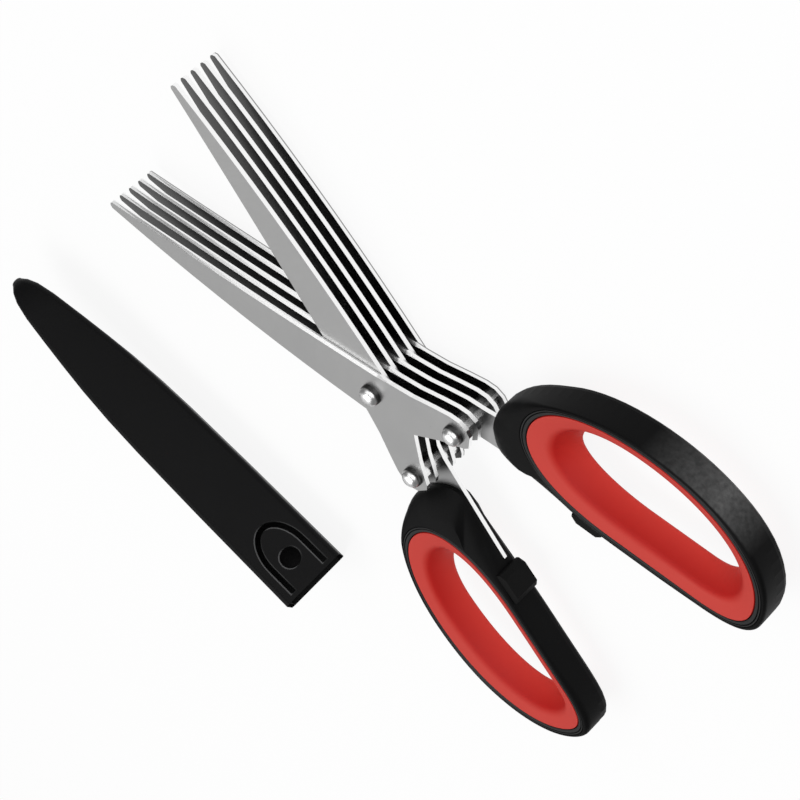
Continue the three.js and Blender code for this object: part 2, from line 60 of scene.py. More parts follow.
# Handles: the outlines are shares of the handle's length and width
HANDLE_FRONT = 28.9 * MM
HANDLE_END = 104.4 * MM
HANDLE_INNER = 4.2 * MM
HANDLE_OUTER = 42.5 * MM
HALF_OPENING = math.radians(21.1)
OUTER_SHARES = [
    (0.08, -0.036), (0.2, -0.018), (0.32, 0), (0.45, 0),
    (0.56, 0), (0.68, 0), (0.783, 0),
    (0.935, 0), (1, 0.06), (1, 0.321),
    (1, 0.71), (0.822, 1), (0.544, 1),
    (0.28, 1), (0.04, 0.62), (0.022, 0.27),
    (0.012, 0.12), (0.03, -0.03), (0.08, -0.036),
]
GRIP_SHARES = [
    (0.49, 0.063), (0.6, 0.063), (0.7, 0.063), (0.783, 0.063),
    (0.902, 0.063), (0.963, 0.125), (0.963, 0.321),
    (0.963, 0.67), (0.783, 0.945), (0.544, 0.945),
    (0.306, 0.945), (0.16, 0.72), (0.16, 0.44),
    (0.16, 0.23), (0.28, 0.063), (0.49, 0.063),
]
HOLE_SHARES = [
    (0.55, 0.206), (0.62, 0.206), (0.7, 0.206), (0.76, 0.206),
    (0.828, 0.206), (0.862, 0.27), (0.862, 0.39),
    (0.862, 0.6), (0.72, 0.786), (0.505, 0.786),
    (0.37, 0.786), (0.282, 0.61), (0.282, 0.43),
    (0.282, 0.3), (0.4, 0.206), (0.55, 0.206),
]
RIM_SHARES = [
    (0.5, 0.16), (0.6, 0.16), (0.7, 0.16), (0.77, 0.16),
    (0.86, 0.16), (0.907, 0.22), (0.907, 0.37),
    (0.907, 0.63), (0.75, 0.85), (0.525, 0.85),
    (0.34, 0.85), (0.232, 0.65), (0.232, 0.44),
    (0.232, 0.26), (0.34, 0.16), (0.5, 0.16),
]
RING_CENTRE_SHARE = (0.544, 0.465)
RING_STATIONS = 192
SHELL_ROUND = 2.1 * MM
NECK_ROUND = 8.0 * MM
NECK_REACH = 0.35
INNER_NECK_REACH = 0.5
INNER_REACH = 0.2
GRIP_FIT = 0.15 * MM
GRIP_DROP = 1.1 * MM
GRIP_ROUND = 1.5 * MM
GRIP_BACK_ROUND = 1.3 * MM
GRIP_EDGE = 0.25 * MM
RIM_WIDTH = 2.6 * MM
RIM_GROOVE = 0.3 * MM

# Most of a front shell's height that its rounded corner takes
MOST_DROP = 0.8

# Front shell's rim, from its rounded corner to the red ring: how far out, as a share of
# the rim's width, and how low, as a share of the groove's depth
RIM_PROFILE = [
    (0.7, 0), (0.64, 1), (0.57, 0.1), (0.52, 0), (0.47, 0.1),
    (0.41, 1), (0.34, 0.15), (0.14, 0.15), (0.05, 0.4),
]
ARC_STEPS = 8

# Sheath, drawn with +X from the mouth to the tip and +Z out of its front face
SHEATH_LENGTH = 112.8 * MM
SHEATH_HALF_WIDTH = 9.65 * MM
SHEATH_HALF_DEPTH = 8.875 * MM
SHEATH_WALL = 1.2 * MM
SHEATH_ROUND = 1.5 * MM
SHEATH_PARTING = 0.22 * MM
SHEATH_TAPER = 13 * MM
SHEATH_NOSE_HALF = 2.75 * MM
SHEATH_NOSE_POWER = 2.2
SHEATH_TIP_HALF = 0.02 * MM
LEAST_HOLLOW = 0.01 * MM
SOLID_TIP_WALLS = 2

# Most of the sheath's half width or depth that its rounded edge and its parting groove take
MOST_ROUND = 0.9
MOST_PARTING = 0.3

# Sections of the sheath: three at its mouth, the rest closer together past the nose's share
MOUTH_STATIONS = (0, 0.12 * MM, 0.4 * MM)
NOSE_SHARE = 0.84
STATION_STEPS = 40

# The sheath lies at this place, turned and leaning back
SHEATH_PLACE = Vector((-20.4 * MM, 102.9 * MM, 12.564 * MM))
SHEATH_HEADING = math.radians(3.6)
SHEATH_LEAN = math.radians(26)

# Sheath's outline: shares of its length from the mouth, with its half width there
SHEATH_SHARES = [
    (0, 1), (0.3, 0.97), (0.5, 0.93), (0.6, 0.885), (0.69, 0.81), (0.77, 0.71),
    (0.84, 0.61), (0.905, 0.51), (0.95, 0.4), (0.976, 0.28), (0.991, 0.16), (1, 0),
]

# The tongue by the sheath's mouth, with its hole and the slot round it. All of them end
# before the clear length
HOLE_BACK = 8.4 * MM
HOLE_RADIUS = 2.8 * MM
HOLE_SEGMENTS = 48
TONGUE_START = 1.4 * MM
TONGUE_STRAIGHT = 8.2 * MM
TONGUE_ARCH = 9.2 * MM
TONGUE_HALF_WIDTH = 5.7 * MM
TONGUE_SLOT = 1.4 * MM
TONGUE_CLEAR = 20.5 * MM
CUT_WALLS = 1.5
SHEATH_RIM = 0.32 * MM
RIM_ANGLE = math.radians(50)
FACE_TOLERANCE = 0.01 * MM
MOUTH_FACING = -0.9

# Rivets
HEAD_HEIGHT = 2.6 * MM
HEAD_RIM = 0.35 * MM
RIVET_RADIUS = 1.6 * MM
DOME_FULLNESS = 0.85
DOME_STEPS = 16
RIVET_SEGMENTS = 64

# Camera, from the fit to the photograph's blades, rivets and handles
CAMERA_PLACE = Vector((-30.4 * MM, -498.5 * MM, 276.4 * MM))
CAMERA_AIM = Vector((-4.17 * MM, 22.61 * MM, 0))
CAMERA_ROLL = math.radians(-132.28)
CAMERA_LENS = 112.5
SENSOR_WIDTH = 36

# Rounding of the sharp edges of pieces that keep their CAD mesh
METAL_SOFTNESS = 0.12 * MM
BUMPER_SOFTNESS = 0.5 * MM
SOFTENED_ANGLE = math.radians(30)


def lerp(a, b, share):
    return a + (b - a) * share


def quarter_round(flatness=0.0):
    """Shares of a corner's radius, from its side to its face: how far in and how far down.
    A flatness of 1 makes it a plain slope."""
    corner = []
    for step in range(ARC_STEPS + 1):
        along = step / ARC_STEPS
        angle = along * math.pi / 2
        across = lerp(1 - math.cos(angle), along, flatness)
        down = lerp(1 - math.sin(angle), 1 - along, flatness)
        corner.append((across, down))
    return corner


def clamp(value, low=0.0, high=1.0):
    return max(low, min(high, value))


def mesh_object(name, points, faces, slots=None):
    """A piece of its own, with each face's material slot where slots are given."""
    mesh = bpy.data.meshes.new(name)
    mesh.from_pydata([tuple(point) for point in points], [], faces)
    mesh.validate()
    if slots:
        mesh.polygons.foreach_set("material_index", slots)
    work = bmesh.new()
    work.from_mesh(mesh)
    bmesh.ops.remove_doubles(work, verts=work.verts, dist=MERGE_DISTANCE)
    bmesh.ops.recalc_face_normals(work, faces=work.faces)
    work.to_mesh(mesh)
    work.free()
    piece = bpy.data.objects.new(name, mesh)
    bpy.context.scene.collection.objects.link(piece)
    return piece


def ring_loft(name, sections, trim=()):
    """A ring of closed sections, each joined to the next and the last to the first.
    The sides of the section that are trim take the second material."""
    count = len(sections[0])
    total = len(sections)
    slots = [1 if j in trim else 0 for j in range(count)] * total
    faces = []
    for i in range(total):
        here, there = i * count, (i + 1) % total * count
        for j in range(count):
            k = (j + 1) % count
            faces.append((here + j, here + k, there + k, there + j))
    return mesh_object(name, [point for section in sections for point in section], faces, slots)


def open_loft(name, sections):
    """Closed sections joined in a row, with a face on each end."""
    count = len(sections[0])
    faces = [tuple(range(count)), tuple(reversed(range((len(sections) - 1) * count, len(sections) * count)))]
    for i in range(len(sections) - 1):
        here, there = i * count, (i + 1) * count
        for j in range(count):
            k = (j + 1) % count
            faces.append((here + j, here + k, there + k, there + j))
    return mesh_object(name, [point for section in sections for point in section], faces)


def smooth(piece, angle=40):
    for polygon in piece.data.polygons:
        polygon.use_smooth = True
    piece.data.set_sharp_from_angle(angle=math.radians(angle))


# Handle outlines

def handle_point(share):
    along, across = share
    return Vector((
        -HANDLE_FRONT - along * (HANDLE_END - HANDLE_FRONT),
        HANDLE_INNER + across * (HANDLE_OUTER - HANDLE_INNER),
    ))


def bezier_outline(shares, steps=48):
    points = [handle_point(share) for share in shares]
    outline = []
    for i in range(0, len(points) - 3, 3):
        a, b, c, d = points[i:i + 4]
        for step in range(steps):
            t = step / steps
            u = 1 - t
            outline.append(a * u ** 3 + b * (3 * u * u * t) + c * (3 * u * t * t) + d * t ** 3)
    return outline


def evenly_spaced(outline, count):
    lengths = [0.0]
    for i in range(len(outline)):
        lengths.append(lengths[-1] + (outline[(i + 1) % len(outline)] - outline[i]).length)
    spaced, segment = [], 0
    for i in range(count):
        target = lengths[-1] * i / count
        while lengths[segment + 1] < target:
            segment += 1
        share = (target - lengths[segment]) / (lengths[segment + 1] - lengths[segment])
        spaced.append(outline[segment].lerp(outline[(segment + 1) % len(outline)], share))
    return spaced


RING_CENTRE = handle_point(RING_CENTRE_SHARE)


def on_rays(outline, guides):
    """Where the rays from the ring's centre through the guide points meet an outline."""
    met = []
    for guide in guides:
        direction = (guide - RING_CENTRE).normalized()
        for i in range(len(outline)):
            a = outline[i] - RING_CENTRE
            b = outline[(i + 1) % len(outline)] - RING_CENTRE
            side_a = direction.cross(a)
            side_b = direction.cross(b)
            if (side_a > 0) != (side_b > 0) and a.dot(direction) > 0:
                met.append(a.lerp(b, side_a / (side_a - side_b)) + RING_CENTRE)
                break
    return met


def outward_normals(loop):
    normals = []
    for i, point in enumerate(loop):
        along = loop[(i + 1) % len(loop)] - loop[i - 1]
        normal = Vector((along.y, -along.x)).normalized()
        normals.append(normal if normal.dot(point - RING_CENTRE) > 0 else -normal)
    return normals


outer_loop = evenly_spaced(bezier_outline(OUTER_SHARES), RING_STATIONS)
grip_loop = on_rays(bezier_outline(GRIP_SHARES), outer_loop)
rim_loop = on_rays(bezier_outline(RIM_SHARES), outer_loop)
hole_loop = on_rays(bezier_outline(HOLE_SHARES), outer_loop)
outer_normals = outward_normals(outer_loop)
grip_normals = outward_normals(grip_loop)
hole_normals = outward_normals(hole_loop)

ARMS = {"a": (-1, HALF_OPENING), "b": (1, -HALF_OPENING)}


def in_frame(letter, flat, z):
    """A point of an arm's own drawing, turned to where the arm lies."""
    side, turn = ARMS[letter]
    return Matrix.Rotation(turn, 3, "Z") @ Vector((flat.x, side * flat.y, z))


def front_shell(letter):
    """The front half of the black ring. The fine grooves along its rim take the second material."""
    node = f"handle_front_shell_{letter}"
    low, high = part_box(node)
    join, face = low.z, high.z
    sections = []
    for wall, normal, grip, grip_normal in zip(outer_loop, outer_normals, grip_loop, grip_normals):
        rim = (wall - grip).length - GRIP_FIT
        along = (-wall.x - HANDLE_FRONT) / (HANDLE_END - HANDLE_FRONT)
        across = (wall.y - HANDLE_INNER) / (HANDLE_OUTER - HANDLE_INNER)
        nearness = clamp(1 - along / NECK_REACH)
        flatness = clamp(1 - along / INNER_NECK_REACH) * clamp(1 - across / INNER_REACH)
        inward = (grip - wall).normalized()
        full_width = lerp(SHELL_ROUND, NECK_ROUND, nearness)
        trim = min(rim, RIM_WIDTH)
        width = min(full_width / -inward.dot(normal), rim - trim * RIM_PROFILE[0][0])
        drop = min(width, full_width, (face - join) * MOST_DROP)
        inner = grip + grip_normal * GRIP_FIT
        toward = (wall - inner).normalized()
        section = [(wall, join), (wall, lerp(join, face - drop, 0.5))]
        section += [
            (wall + inward * width * share, face - drop * down) for share, down in quarter_round(flatness)
        ]
        section += [(inner + toward * trim * out, face - RIM_GROOVE * down) for out, down in RIM_PROFILE]
        section += [(inner, face - RIM_GROOVE), (inner, join)]
        sections.append([in_frame(letter, flat, z) for flat, z in section])
    first = len(sections[0]) - len(RIM_PROFILE) - 2
    piece = ring_loft(f"handle_front_{letter}", sections, trim=range(first, len(sections[0]) - 2))
    smooth(piece)
    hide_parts(node)
    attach(piece, f"arm_{letter}")
    return piece


def towards(start, end, distance):
    return start.lerp(end, distance / (end - start).length)


def rounded_corner(before, corner, after, radius, steps=10):
    """Points of a smooth bend, from one side of a corner to the other."""
    start, end = towards(corner, before, radius), towards(corner, after, radius)
    shares = [step / steps for step in range(steps + 1)]
    return [start * (1 - t) ** 2 + corner * (2 * t * (1 - t)) + end * t * t for t in shares]


def grip_ring(letter):
    """The soft red ring: a sloping band, a rounded rim and a wall that narrows to the hole."""
    node = f"finger_grip_{letter}"
    low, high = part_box(node)
    sections = []
    for outer, rim, hole, normal in zip(grip_loop, rim_loop, hole_loop, hole_normals):
        bottom, edge = Vector((*outer, low.z)), Vector((*outer, high.z))
        lip = Vector((*rim, high.z - GRIP_DROP))
        foot = Vector((*hole, low.z + GRIP_BACK_ROUND))
        section = [bottom, *rounded_corner(bottom, edge, lip, GRIP_EDGE, steps=3)]
        section += rounded_corner(edge, lip, foot, GRIP_ROUND)
        section += [Vector((*(hole + normal * GRIP_BACK_ROUND * across), low.z + GRIP_BACK_ROUND * down))
                    for across, down in quarter_round()]
        sections.append([in_frame(letter, point, point.z) for point in section])
    piece = ring_loft(f"finger_ring_{letter}", sections)
    smooth(piece, angle=60)
    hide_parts(node)
    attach(piece, f"arm_{letter}")
    return piece


def rivet(node, body):
    """A smooth domed head on its shank, in place of the faceted CAD one."""
    low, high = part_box(node)
    centre = (low + high) / 2
    head_radius = (high.x - low.x) / 2
    head_low = high.z - HEAD_HEIGHT
    rim_high = head_low + HEAD_RIM
    profile = [
        (0, low.z), (RIVET_RADIUS, low.z), (RIVET_RADIUS, head_low), (head_radius, head_low),
        (head_radius, rim_high),
    ]
    dome_height = high.z - rim_high
    for step in range(1, DOME_STEPS + 1):
        angle = step / DOME_STEPS * math.pi / 2
        radius = head_radius * math.cos(angle) ** DOME_FULLNESS
        profile.append((radius, rim_high + dome_height * math.sin(angle)))
    sections = []
    for i in range(RIVET_SEGMENTS):
        angle = i / RIVET_SEGMENTS * 2 * math.pi
        sections.append([
            Vector((centre.x + r * math.cos(angle), centre.y + r * math.sin(angle), z)) for r, z in profile
        ])
    piece = ring_loft(f"{node}_head", sections)
    smooth(piece, angle=50)
    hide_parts(node)
    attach(piece, body)
    return piece


# Sheath

def sheath_width(share):
    """Half width, as a share of the widest, at a share of the length. The tip is rounded off."""
    for (x0, y0), (x1, y1) in zip(SHEATH_SHARES, SHEATH_SHARES[1:]):
        if share <= x1:
            t = (share - x0) / (x1 - x0)
            if x1 == 1:
                return y0 * math.sqrt(max(0.0, 1 - t * t))
            return lerp(y0, y1, t)
    return 0.0


def sheath_depth(share):
    """Half depth: full over the blades, drawn in to a rounded nose past their tips."""
    start = 1 - SHEATH_TAPER / SHEATH_LENGTH
    if share <= start:
        return SHEATH_HALF_DEPTH
    t = (share - start) / (1 - start)
    return lerp(SHEATH_NOSE_HALF, SHEATH_HALF_DEPTH, math.sqrt(max(0.0, 1 - t ** SHEATH_NOSE_POWER)))


def sheath_section(x, face):
    """Half of the sheath's hollow section: its front half where face is 1, its rear one where -1."""
    share = x / SHEATH_LENGTH
    half_width = max(sheath_width(share) * SHEATH_HALF_WIDTH, SHEATH_TIP_HALF)
    half_depth = sheath_depth(share)
    radius = min(SHEATH_ROUND, half_width * MOST_ROUND, half_depth * MOST_ROUND)
    lip = min(SHEATH_PARTING, half_width * MOST_PARTING)
    side = [(half_width - lip, 0), (half_width, lip)]
    side += [(half_width - radius * across, half_depth - radius * down) for across, down in quarter_round()]
    outer = side + [(-y, z) for y, z in reversed(side)]
    inner_width = max(half_width - SHEATH_WALL, LEAST_HOLLOW)
    inner_depth = max(half_depth - SHEATH_WALL, LEAST_HOLLOW)
    if x > SHEATH_LENGTH - SHEATH_WALL * SOLID_TIP_WALLS:
        inner_depth = LEAST_HOLLOW
    inner = [(-inner_width, 0), (-inner_width, inner_depth), (inner_width, inner_depth), (inner_width, 0)]
    return [Vector((x, y, face * z)) for y, z in outer + inner]


SHEATH_MATRIX = (
    Matrix.Translation(SHEATH_PLACE)
    @ Matrix.Rotation(SHEATH_HEADING, 4, "Z")
    @ Matrix.Rotation(math.pi / 2 - SHEATH_LEAN, 4, "X")
)


def prism(name, outline, low, high):
    """A plain upright block over an outline, used only as a cutter."""
    return open_loft(name, [[Vector((p.x, p.y, z)) for p in outline] for z in (low, high)])


def tongue_path(half_width, arch, steps=24):
    """One side of the slot: straight from the mouth, round the arch and straight back."""
    straight = TONGUE_START + TONGUE_STRAIGHT
    curve = []
    for step in range(1, steps):
        angle = -math.pi / 2 + step / steps * math.pi
        curve.append(Vector((straight + arch * math.cos(angle), half_width * math.sin(angle))))
    return (
        [Vector((TONGUE_START, -half_width)), Vector((straight, -half_width))]
        + curve
        + [Vector((straight, half_width)), Vector((TONGUE_START, half_width))]
    )


def cut(piece, cutters):
    """Takes the cutters out of a piece for good, and removes them."""
    for cutter in cutters:
        modifier = piece.modifiers.new("cut", "BOOLEAN")
        modifier.object = cutter
        modifier.operation = "DIFFERENCE"
        modifier.solver = "EXACT"
    bpy.context.view_layer.update()
    evaluated = piece.evaluated_get(bpy.context.evaluated_depsgraph_get())
    mesh = bpy.data.meshes.new_from_object(evaluated)
    piece.modifiers.clear()
    piece.data = mesh
    for cutter in cutters:
        bpy.data.objects.remove(cutter)


def weigh_rims(mesh):
    """Marks the rims of the slot and the hole for the bevel, and no edge of the mouth."""
    work = bmesh.new()
    work.from_mesh(mesh)
    weights = work.edges.layers.float.new("bevel_weight_edge")
    for edge in work.edges:
        is_rim = all(
            vert.co.x > TONGUE_START / 2 and abs(vert.co.z - SHEATH_HALF_DEPTH) < FACE_TOLERANCE
            for vert in edge.verts
        )
        if is_rim and edge.is_manifold and edge.calc_face_angle() > RIM_ANGLE:
            edge[weights] = 1
    work.to_mesh(mesh)
    work.free()


def sheath_stations():
    """Places of the sections along the sheath. None crosses the slot or the hole, so that their
    rims bevel evenly."""
    shares = [share for share, _ in SHEATH_SHARES[1:-1]]
    for step in range(1, STATION_STEPS + 1):
        along = step / STATION_STEPS
        shares += [along * NOSE_SHARE, lerp(NOSE_SHARE, 1, math.sin(along * math.pi / 2))]
    stations = [*MOUTH_STATIONS, *(share * SHEATH_LENGTH for share in shares)]
    return sorted({round(x, 7) for x in stations if x < TONGUE_START / 2 or x > TONGUE_CLEAR})


def cut_tongue(piece):
    """Cuts the slot round the tongue and its hole, and bevels their rims in the second material."""
    half = TONGUE_SLOT / 2
    slot = tongue_path(TONGUE_HALF_WIDTH + half, TONGUE_ARCH + half)
    slot += reversed(tongue_path(TONGUE_HALF_WIDTH - half, TONGUE_ARCH - half))
    ring = []
    for i in range(HOLE_SEGMENTS):
        angle = i / HOLE_SEGMENTS * 2 * math.pi
        ring.append(Vector((HOLE_BACK + HOLE_RADIUS * math.cos(angle), HOLE_RADIUS * math.sin(angle))))
    low = SHEATH_HALF_DEPTH - SHEATH_WALL * CUT_WALLS
    high = SHEATH_HALF_DEPTH + SHEATH_WALL
    cut(piece, [prism("slot_cutter", slot, low, high), prism("hole_cutter", ring, low, high)])
    weigh_rims(piece.data)
    bevel = piece.modifiers.new("edges", "BEVEL")
    bevel.width = SHEATH_RIM
    bevel.segments = 2
    bevel.limit_method = "WEIGHT"
    bevel.material = 1


def sheath_half(name, face, node):
    """A half of the sheath. The faces of its mouth take the third material."""
    piece = open_loft(name, [sheath_section(x, face) for x in sheath_stations()])
    if face > 0:
        cut_tongue(piece)
    smooth(piece, angle=35)
    for polygon in piece.data.polygons:
        if polygon.normal.x < MOUTH_FACING:
            polygon.material_index = 2
    piece.data.transform(SHEATH_MATRIX)
    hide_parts(node)
    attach(piece, "sheath")
    return piece


# Materials. A pair of colours is a low and a high, between which a noise varies them

# The ground edges' near white is their ground finish with a painted highlight on it.
EDGE_STEEL_PAINTED_HIGHLIGHT = (0.96, 0.96, 0.96)
OUTER_STEEL = ((0.53, 0.53, 0.53), (0.59, 0.59, 0.585))
# The inner plates' dark is a painted shade between the plates.
INNER_STEEL_PAINTED_SHADE = ((0.05, 0.05, 0.05), (0.075, 0.075, 0.075))
BRIGHT_STEEL = ((0.87, 0.87, 0.87), (0.93, 0.93, 0.93))
# A painted shade for the edges' lower corners, and along the lowest plates' foot.
CORNER_PAINTED_SHADE = (0.3, 0.3, 0.3)
# A painted shade round the sides of the rivet heads.
HEAD_SIDE_PAINTED_SHADE = (0.08, 0.08, 0.08)
# A lighter painted shade towards the inner plates' tips.
TIP_PAINTED_SHADE = (0.2, 0.2, 0.2)

HANDLE_BLACK = ((0.0028, 0.0028, 0.0029), (0.0046, 0.0046, 0.0048))
BUMPER_BLACK = ((0.005, 0.005, 0.005), (0.0075, 0.0075, 0.0075))
SHEATH_BLACK = ((0.0032, 0.0032, 0.0034), (0.0048, 0.0048, 0.0051))
MOUTH_BLACK = ((0.0028, 0.0028, 0.0029), (0.004, 0.004, 0.0042))
# A painted reflection of the floor on the sheath's bevels that face down.
RIM_PAINTED_REFLECTION = (0.09, 0.09, 0.092)
# The speckled greys of a painted sheen on arm A's outer wall.
PAINTED_SHEEN_GREYS = ((0.06, 0.06, 0.06), (0.105, 0.105, 0.105))

WALL_RED = ((0.46, 0.012, 0.0085), (0.52, 0.016, 0.012))
# The upward band's paler red is painted light.
BAND_RED_PAINTED_LIGHT = (0.56, 0.042, 0.03)
# The wall's paler foot is painted bounce light from the floor.
FOOT_RED_PAINTED_BOUNCE = (0.66, 0.045, 0.032)

# Ranges of roughness
SATIN = (0.24, 0.4)
POLISHED = (0.2, 0.34)
HEAD_POLISHED = (0.3, 0.36)
RUBBER = (0.52, 0.64)
GLOSS_SPREAD = (-0.05, 0.08)

# Noises: how fine they are, how a scratch is drawn out, and how deep the bumps go
SCRATCH_SCALE = 900
SCRATCH_GRAIN = (0.16, 4, 1)
SCRATCH_DEPTH = 0.004 * MM
STEEL_SCALE = 60
WEAR_SCALE = 2500
HEAD_WEAR_SCALE = 900
GLOSS_SCALE = 90
GRAIN_DEPTH = 0.03 * MM
PAINTED_SHEEN_SCALE = 900
PAINTED_SHEEN_CONTRAST = (0.3, 0.7)
RED_SCALE = 110
RUBBER_SCALE = 3200
RUBBER_DEPTH = 0.012 * MM

# Upward parts of the normal between which a surface changes its colour, most of them for painted highlight,
# shade and reflection
FLAT_FACING = (0.8, 0.95)
UNDERSIDE_FACING = (0.5, -0.5)
CORNER_FACING = (-0.15, -0.5)
HEAD_FACING = (0.3, 0.5)
RIM_FACING = (0.34, 0.1)
WALL_FACING = (0.8, 0.4)
BAND_FACING = (0.6, 0.95)

# Distances from the pivot, along an arm, between which the inner plates' painted shade grows lighter
TIP_LIGHTENS = (50 * MM, 84 * MM)
NECK_LIGHTENS = (-25 * MM, -29 * MM)

# Heights above a lowest plate's foot between which its edge turns dark, a painted shade along the foot
FOOT_PAINTED_SHADE = (0.34 * MM, 0.24 * MM)

# Share of the red wall's height below which it grows paler, a painted bounce light from the floor
WALL_PAINTED_BOUNCE_SHARE = 0.75

# The painted sheen of arm A's outer wall, a speckled grey patch, lies between these lengths along
# and across the arm
PAINTED_SHEEN_FRONT = (-68 * MM, -87 * MM)
PAINTED_SHEEN_REAR = (-98 * MM, -88 * MM)
PAINTED_SHEEN_SIDE = (-18 * MM, -30 * MM)


def new_material(name, color, roughness, metallic=0.0, specular=0.5):
    material = bpy.data.materials.new(name)
    material.use_nodes = True
    shader = material.node_tree.nodes["Principled BSDF"]
    shader.inputs["Base Color"].default_value = (*color, 1)
    shader.inputs["Roughness"].default_value = roughness
    shader.inputs["Metallic"].default_value = metallic
    shader.inputs["Specular IOR Level"].default_value = specular
    return material, material.node_tree, shader


def facing_up(tree):
    """The upward part of the surface's normal, on the object itself."""
    return split_axis(tree, tree.nodes.new("ShaderNodeTexCoord").outputs["Normal"], "Z")


def own_axes(tree, turn=0.0, grain=(1, 1, 1)):
    """The object's own coordinates, turned to an arm and then divided by the grain's lengths."""
    coordinates = tree.nodes.new("ShaderNodeTexCoord")
    mapping = tree.nodes.new("ShaderNodeMapping")
    mapping.vector_type = "TEXTURE"
    mapping.inputs["Rotation"].default_value = (0, 0, turn)
    mapping.inputs["Scale"].default_value = grain
    tree.links.new(coordinates.outputs["Object"], mapping.inputs["Vector"])
    return mapping.outputs["Vector"]


def noise(tree, scale, detail=2.0, turn=0.0, grain=(1, 1, 1)):
    texture = tree.nodes.new("ShaderNodeTexNoise")
    texture.inputs["Scale"].default_value = scale
    texture.inputs["Detail"].default_value = detail
    tree.links.new(own_axes(tree, turn, grain), texture.inputs["Vector"])
    return texture.outputs["Fac"]


def between(tree, factor, low, high):
    """A number between two, by a factor."""
    node = tree.nodes.new("ShaderNodeMapRange")
    node.inputs["To Min"].default_value = low
    node.inputs["To Max"].default_value = high
    tree.links.new(factor, node.inputs["Value"])
    return node.outputs["Result"]


def bump(tree, shader, heights, distance, strength):
    node = tree.nodes.new("ShaderNodeBump")
    node.inputs["Distance"].default_value = distance
    node.inputs["Strength"].default_value = strength
    tree.links.new(heights, node.inputs["Height"])
    tree.links.new(node.outputs["Normal"], shader.inputs["Normal"])


def shares_of(tree, value, start, end):
    """0 where the value is at its start, 1 at its end, and clamped past them."""
    node = tree.nodes.new("ShaderNodeMapRange")
    node.inputs["From Min"].default_value = start
    node.inputs["From Max"].default_value = end
    tree.links.new(value, node.inputs["Value"])
    return node.outputs["Result"]


def blend(tree, factor, below, above):
    """A colour mixed from two, each of them a plain colour or the output of a node."""
    node = tree.nodes.new("ShaderNodeMix")
    node.data_type = "RGBA"
    tree.links.new(factor, node.inputs["Factor"])
    for socket, color in ((node.inputs["A"], below), (node.inputs["B"], above)):
        if isinstance(color, tuple):
            socket.default_value = (*color, 1)
        else:
            tree.links.new(color, socket)
    return node.outputs["Result"]


def split_axis(tree, vector, axis):
    node = tree.nodes.new("ShaderNodeSeparateXYZ")
    tree.links.new(vector, node.inputs["Vector"])
    return node.outputs[axis]


def satin_steel(name, turn, colors, is_inner=False, foot=None):
    """Stainless steel: satin faces with fine scratches across the blade, and ground edges painted near
    white, a painted highlight over their ground finish, with a painted shade on their lower corner. The
    inner plates carry a painted shade between the plates, lighter at their tips and gone at the tang's
    neck. A foot is the height of a lowest plate's underside, along which the edge gets a painted shade."""
    material, tree, shader = new_material(name, colors[0], SATIN[0], metallic=1.0)
    scratches = noise(tree, SCRATCH_SCALE, detail=3, turn=turn, grain=SCRATCH_GRAIN)
    face = blend(tree, noise(tree, STEEL_SCALE), *colors)
    upward = facing_up(tree)
    if is_inner:
        along = split_axis(tree, own_axes(tree, turn), "X")
        # The inner plates' painted shade, lighter towards the tips and gone at the tang's neck.
        face = blend(tree, shares_of(tree, along, *TIP_LIGHTENS), face, TIP_PAINTED_SHADE)
        face = blend(tree, shares_of(tree, along, *NECK_LIGHTENS), face, OUTER_STEEL[0])
    if foot is not None:
        face = blend(tree, shares_of(tree, upward, *UNDERSIDE_FACING), face, OUTER_STEEL[0])
    # Painted highlight on the edges, and painted shade on their lower corners.
    edge = blend(tree, shares_of(tree, upward, *CORNER_FACING), EDGE_STEEL_PAINTED_HIGHLIGHT, CORNER_PAINTED_SHADE)
    if foot is not None:
        # Painted shade along the lowest plate's foot.
        height = split_axis(tree, own_axes(tree), "Z")
        painted_foot_shade = shares_of(tree, height, *(foot + above for above in FOOT_PAINTED_SHADE))
        edge = blend(tree, painted_foot_shade, edge, CORNER_PAINTED_SHADE)
    flat = tree.nodes.new("ShaderNodeMath")
    flat.operation = "ABSOLUTE"
    tree.links.new(upward, flat.inputs[0])
    color_with_painted_light = blend(tree, shares_of(tree, flat.outputs["Value"], *FLAT_FACING), edge, face)
    tree.links.new(color_with_painted_light, shader.inputs["Base Color"])
    tree.links.new(between(tree, scratches, *SATIN), shader.inputs["Roughness"])
    bump(tree, shader, scratches, SCRATCH_DEPTH, strength=0.5)
    return material


def polished_steel(name, is_head=False):
    """Bright steel with faint wear. A rivet's head is smoother, with a painted shade round its side."""
    roughness = HEAD_POLISHED if is_head else POLISHED
    material, tree, shader = new_material(name, BRIGHT_STEEL[0], roughness[0], metallic=1.0)
    wear = noise(tree, HEAD_WEAR_SCALE if is_head else WEAR_SCALE, detail=3)
    color = blend(tree, wear, *BRIGHT_STEEL)
    if is_head:
        # Painted shade round the head's side.
        color = blend(tree, shares_of(tree, facing_up(tree), *HEAD_FACING), HEAD_SIDE_PAINTED_SHADE, color)
    tree.links.new(color, shader.inputs["Base Color"])
    tree.links.new(between(tree, wear, *roughness), shader.inputs["Roughness"])
    return material


def painted_sheen(tree, color, turn):
    """A colour with a painted sheen, a speckled grey patch, on the outer wall of the handle that turns so.
    """
    axes = own_axes(tree, turn)
    along = split_axis(tree, axes, "X")
    across = split_axis(tree, axes, "Y")
    speckle = shares_of(tree, noise(tree, PAINTED_SHEEN_SCALE, detail=3), *PAINTED_SHEEN_CONTRAST)
    grey = blend(tree, speckle, *PAINTED_SHEEN_GREYS)
    patch = blend(tree, shares_of(tree, along, *PAINTED_SHEEN_FRONT), color, grey)
    patch = blend(tree, shares_of(tree, along, *PAINTED_SHEEN_REAR), color, patch)
    patch = blend(tree, shares_of(tree, across, *PAINTED_SHEEN_SIDE), color, patch)
    return blend(tree, shares_of(tree, facing_up(tree), *WALL_FACING), color, patch)


